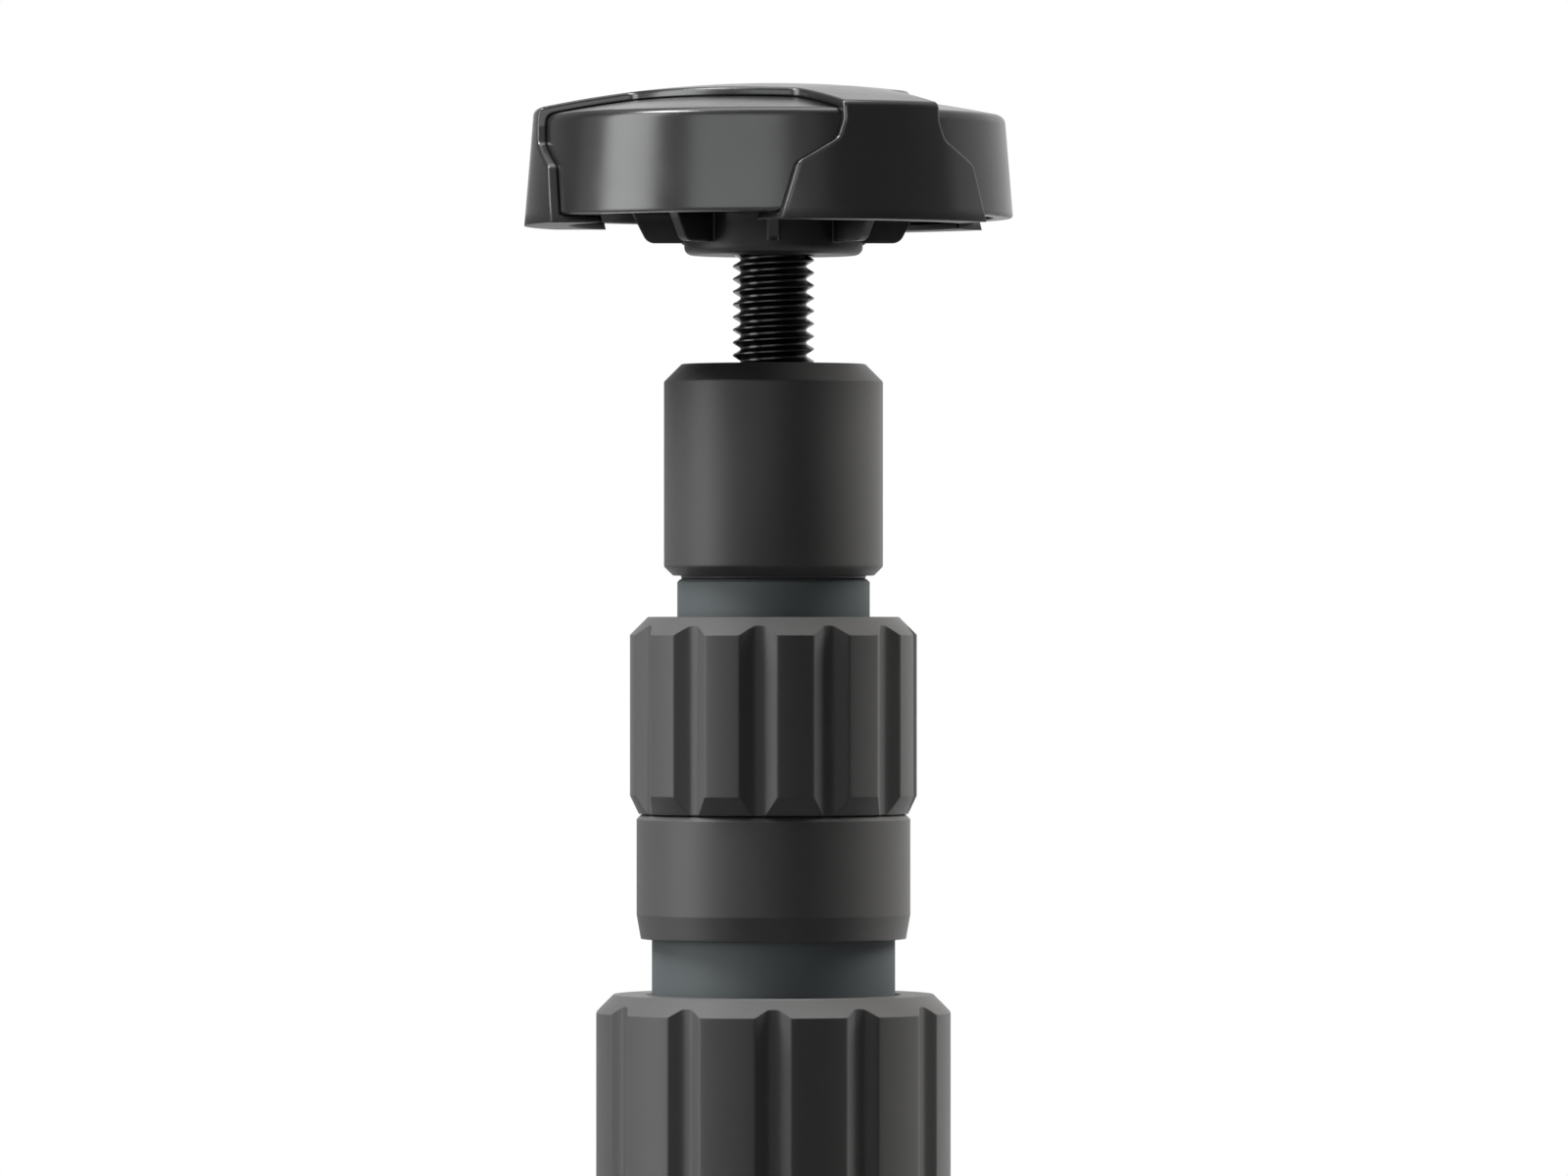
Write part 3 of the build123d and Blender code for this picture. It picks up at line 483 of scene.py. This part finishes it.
def make_collar(finish):
    """The end collar: a barrel with a wide top chamfer, on a short neck over the inner tube."""
    low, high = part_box("end_collar")
    radius = high.x
    tube_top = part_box("inner_tube")[1].z
    neck_top = tube_top + COLLAR_NECK_HEIGHT
    mesh = turned([
        (COLLAR_BORE, low.z),
        (COLLAR_PLUG_RADIUS, low.z),
        (COLLAR_PLUG_RADIUS, tube_top),
        (COLLAR_NECK_RADIUS, tube_top),
        (COLLAR_NECK_RADIUS, neck_top),
        (radius - COLLAR_FOOT_CHAMFER, neck_top),
        (radius, neck_top + COLLAR_FOOT_CHAMFER),
        (radius, high.z - COLLAR_TOP_CHAMFER),
        (radius - COLLAR_TOP_CHAMFER, high.z),
        (COLLAR_BORE + COLLAR_MOUTH_CHAMFER, high.z),
        (COLLAR_BORE, high.z - COLLAR_MOUTH_CHAMFER),
    ])
    add_piece("barrel_collar", soften(mesh), finish, "inner_section", "anodised", "end_collar")


# Lock nuts


def on_curve(start, corner, end, share):
    """A point on the curve that rounds a corner between two points."""
    weights = ((1 - share) ** 2, 2 * share * (1 - share), share**2)
    return tuple(sum(w * p[i] for w, p in zip(weights, (start, corner, end))) for i in (0, 1))


def half_flute(radius, half_width, depth, land_start):
    """Half a flute's (out, across) points: its flat bottom, a blend, a flat wall and a small rounding."""
    bottom = radius - depth
    edge = sqrt(radius**2 - half_width**2)
    wall_foot = half_width - (edge - bottom) / tan(FLUTE_SLOPE)
    blend_start = wall_foot - FLUTE_BLEND * tan(FLUTE_SLOPE / 2)
    points = [(bottom, 0.0)]
    for share in (0.0, 0.25, 0.5, 0.75, 1.0):
        turn = share * FLUTE_SLOPE
        points.append((bottom + FLUTE_BLEND * (1 - cos(turn)), blend_start + FLUTE_BLEND * sin(turn)))
    wall_start = points[-1]
    wall_end = (edge - LAND_ROUNDING * sin(FLUTE_SLOPE), half_width - LAND_ROUNDING * cos(FLUTE_SLOPE))
    for share in (1 / 3, 2 / 3, 1.0):
        points.append(tuple(a + share * (b - a) for a, b in zip(wall_start, wall_end)))
    land_point = (radius * cos(land_start), radius * sin(land_start))
    for share in (1 / 3, 2 / 3):
        points.append(on_curve(wall_end, (edge, half_width), land_point, share))
    return points


def flute_and_land(radius, half_width, depth):
    """The outside from the middle of a flute to that of the next, less its last point: (angle, radius)."""
    edge = sqrt(radius**2 - half_width**2)
    land_start = atan2(half_width, edge) + LAND_ROUNDING / radius
    half = []
    for out, across in half_flute(radius, half_width, depth, land_start):
        half.append((atan2(across, out), hypot(out, across)))
    for share in (0.0, 0.2, 0.4, 0.6, 0.8, 1.0):
        half.append((land_start + share * (FLUTE_PITCH / 2 - land_start), radius))
    return half + [(FLUTE_PITCH - angle, wall) for angle, wall in half[-2:0:-1]]


def nut_section(sizes, low, high):
    """A nut's turned section: the edges of its outside by name, and the corners of its bores."""
    radius = sizes["radius"]
    groove_top = high - NUT_LIP
    groove_foot = groove_top - WIPER_ROOM
    pocket_foot = groove_foot - COLLET_ROOM
    outside = {
        "foot": (radius - NUT_FOOT_INSET, low),
        "rise": (radius, low + NUT_FOOT_RISE),
        "shoulder": (radius, high - NUT_TOP_CHAMFER),
        "top": (radius - NUT_TOP_CHAMFER, high),
    }
    inside = [
        (sizes["mouth"] + NUT_MOUTH_CHAMFER, high),
        (sizes["mouth"], high - NUT_MOUTH_CHAMFER),
        (sizes["mouth"], groove_top),
        (sizes["wiper_groove"], groove_top),
        (sizes["wiper_groove"], groove_foot),
        (sizes["collet_pocket"], groove_foot),
        (sizes["collet_pocket"], pocket_foot),
        (sizes["thread"], pocket_foot),
        (sizes["thread"], low),
    ]
    return outside, inside


def edge_at(outside, out, height):
    """The name of the outside's edge that a vertex is on, or None for a vertex of the bores."""
    for edge, (edge_out, edge_height) in outside.items():
        if abs(out - edge_out) < LEAST_WALL and abs(height - edge_height) < LEAST_WALL:
            return edge
    return None


def drawn_in(edge, out, height, wall, radius, low, high):
    """Where a vertex on an edge of the outside goes, where the flutes leave the nut a wall's radius."""
    depth = radius - wall
    if edge == "foot":
        return min(out, wall), height
    if edge == "rise":
        return wall, low + max(NUT_FOOT_RISE * (1 - depth / NUT_FOOT_INSET), LEAST_WALL)
    if edge == "shoulder":
        return wall, high - NUT_TOP_CHAMFER + depth
    return out, height


def make_lock_nut(which, finish):
    """A lock nut: turned, then its outside drawn in to flutes with flat walls that run out at both ends."""
    sizes = LOCK_NUTS[which]
    radius = sizes["radius"]
    low, high = (corner.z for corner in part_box(which + "_lock_nut"))
    outside, inside = nut_section(sizes, low, high)
    pattern = flute_and_land(radius, sizes["flute_half_width"], sizes["flute_depth"])
    steps = FLUTES * len(pattern)
    mesh = turned(list(outside.values()) + inside, steps=steps)
    first_flute = radians(sizes["land_angle"] - 90) + FLUTE_PITCH / 2
    for vert in mesh.verts:
        out, height = vert.co.xy.length, vert.co.z
        count = round(atan2(vert.co.y, vert.co.x) / (tau / steps)) % steps
        turn = first_flute + count * (tau / steps)
        edge = edge_at(outside, out, height)
        if edge:
            flute, place = divmod(count, len(pattern))
            angle, wall = pattern[place]
            turn = first_flute + flute * FLUTE_PITCH + angle
            out, height = drawn_in(edge, out, height, wall, radius, low, high)
        vert.co = (out * cos(turn), out * sin(turn), height)
    bmesh.ops.recalc_face_normals(mesh, faces=mesh.faces)
    piece, body, node = "fluted_" + which + "_nut", which + "_nut", which + "_lock_nut"
    add_piece(piece, mesh, finish, body, "anodised", node, crease=SHARP_ANGLE)


# Studio


def white_where_seen(board):
    """1 for rays from the camera, a mirror or glass, which see the white backdrop."""
    rays = board.node("ShaderNodeLightPath").socket.node.outputs
    seen = [Wire(board, rays[name]) for name in ("Is Camera Ray", "Is Glossy Ray", "Is Transmission Ray")]
    return seen[0].sum("MINIMUM", seen[0] + seen[1] + seen[2], 1.0)


def light_world():
    """A world that looks white and lights the object softly."""
    world = bpy.data.worlds.new("studio_white")
    bpy.context.scene.world = world
    board = Board(world)
    seen = white_where_seen(board)
    white = board.node("ShaderNodeBackground", None, {"Color": grey(1.0), "Strength": 1.0})
    soft = board.node("ShaderNodeBackground", None, {"Color": grey(1.0), "Strength": WORLD_LIGHT})
    mixed = board.node("ShaderNodeMixShader", None, {0: seen, 1: soft, 2: white})
    board.tree.links.new(mixed.socket, board.tree.nodes["World Output"].inputs["Surface"])


def pale_floor():
    """A pale half-matt floor that fades into the white backdrop away from the object."""
    finish = Finish("pale_floor", {"Base Color": grey(0.8), "Roughness": 0.6})
    reach = finish.node("ShaderNodeVectorMath", {"operation": "LENGTH"}, {0: finish.where()}, "Value")
    fade = finish.ramp(reach, FLOOR_FADE_START, FLOOR_FADE_END)
    seen = white_where_seen(finish)
    white = finish.node("ShaderNodeEmission", None, {"Color": grey(1.0), "Strength": 1.0})
    lit = Wire(finish, finish.shader.outputs[0])
    mixed = finish.node("ShaderNodeMixShader", None, {0: fade * seen, 1: lit, 2: white})
    finish.tree.links.new(mixed.socket, finish.tree.nodes["Material Output"].inputs["Surface"])
    return finish


def lay_floor():
    """A round floor that takes the object's shadow and throws no light back at it."""
    mesh = bmesh.new()
    bmesh.ops.create_circle(mesh, cap_ends=True, segments=FLOOR_SIDES, radius=FLOOR_RADIUS)
    floor = into_scene("floor", mesh)
    floor.data.materials.append(pale_floor().material)
    floor.visible_diffuse = False


def at(bearing, distance, height):
    """A place round the column: its bearing is in degrees, 0 towards the camera and 90 to the right."""
    angle = radians(bearing)
    return Vector((distance * sin(angle), -distance * cos(angle), height))


def hang_softbox(name, place, size, power, colour=PLAIN_LIGHT, on_matt=True, on_gloss=True):
    """A rectangular soft light that faces the column's top, for matt surfaces, reflections or both."""
    lamp = bpy.data.lights.new(name, "AREA")
    lamp.shape = "RECTANGLE"
    lamp.size, lamp.size_y = size
    lamp.energy = power
    lamp.color = colour
    box = bpy.data.objects.new(name, lamp)
    box.location = place
    box.rotation_euler = (COLUMN_TOP - place).to_track_quat("-Z", "Y").to_euler()
    box.visible_camera = False
    box.visible_diffuse = on_matt
    box.visible_glossy = on_gloss
    bpy.context.scene.collection.objects.link(box)


def flag_cloth():
    """Black cloth with a glow of its own, so that its reflection is grey and not black."""
    constants = {
        "Base Color": grey(0.004),
        "Roughness": 1.0,
        "Emission Color": grey(1.0),
        "Emission Strength": FLAG_GLOW,
    }
    return Finish("flag_cloth", constants)


def stand_flag(name, place, size, cloth):
    """A card that only reflections see, where it hides the white backdrop from them."""
    width, tall = size
    mesh = bmesh.new()
    bmesh.ops.create_grid(mesh, x_segments=1, y_segments=1, size=0.5)
    bmesh.ops.scale(mesh, verts=mesh.verts, vec=(width, tall, 1.0))
    turn = (COLUMN_TOP - place).to_track_quat("Z", "Y")
    bmesh.ops.rotate(mesh, verts=mesh.verts, cent=(0, 0, 0), matrix=turn.to_matrix())
    bmesh.ops.translate(mesh, verts=mesh.verts, vec=place)
    card = into_scene(name, mesh)
    card.visible_camera = False
    card.visible_diffuse = False
    card.visible_shadow = False
    card.data.materials.append(cloth.material)


def light_column():
    """High washes for matt surfaces, a strip, a glow and a spot for reflections, and two flags."""
    hang_softbox("left_wash", at(-95, 0.8, 1.5), (0.45, 0.7), power=31.0, on_gloss=False)
    hang_softbox("left_strip", at(-75, 1.0, 0.5), (0.53, 1.1), power=13.8, colour=COOL_LIGHT, on_matt=False)
    hang_softbox("right_wash", at(109, 1.0, 1.15), (0.5, 0.7), power=24.0, colour=WARM_LIGHT, on_gloss=False)
    hang_softbox("top_softbox", Vector((0.0, 0.05, 1.4)), (0.7, 0.7), power=6.0)
    hang_softbox("front_glow", at(-18, 1.0, 0.55), (0.85, 0.4), power=3.0, colour=COOLER_LIGHT, on_matt=False)
    hang_softbox("high_spot", Vector((-0.577, -0.103, 1.2)), (0.3, 0.3), power=10.0, on_matt=False)
    cloth = flag_cloth()
    stand_flag("right_flag", at(58, 0.75, 0.5), (1.0, 1.2), cloth)
    stand_flag("rear_flag", at(-138, 1.0, 0.5), (1.1, 1.4), cloth)


def set_camera():
    """The photograph's camera: level, at its distance, with the lens that gives its scale."""
    camera = bpy.data.cameras.new("photo_camera")
    camera.sensor_width = SENSOR
    camera.lens = SENSOR * VIEW_DISTANCE * PIXELS_PER_METRE / PHOTO_WIDTH
    holder = bpy.data.objects.new("photo_camera", camera)
    holder.location = (VIEW_RIGHT, -VIEW_DISTANCE, COLLAR_TOP - VIEW_BELOW_COLLAR)
    holder.rotation_euler = (radians(90), 0, 0)
    bpy.context.scene.collection.objects.link(holder)
    bpy.context.scene.camera = holder


FINISHES = {
    "anodised": satin_anodising(),
    "tube": smooth_tube(),
    "bare_aluminium": bare_aluminium(),
    "black_steel": black_oxide(),
    "knob_plastic": glossy_plastic(),
    "acetal": moulded_acetal(),
    "rubber": black_rubber(),
}

for subpart in frame["record"]["subparts"]:
    node = frame["nodes"][subpart["node"]]
    node.data.materials.clear()
    node.data.materials.append(FINISHES[subpart["material_slot"]].material)

make_screw(FINISHES["black_steel"])
make_collar(FINISHES["anodised"])
for which in LOCK_NUTS:
    make_lock_nut(which, FINISHES["anodised"])

light_world()
lay_floor()
light_column()
set_camera()
bpy.context.scene.view_settings.view_transform = "Standard"
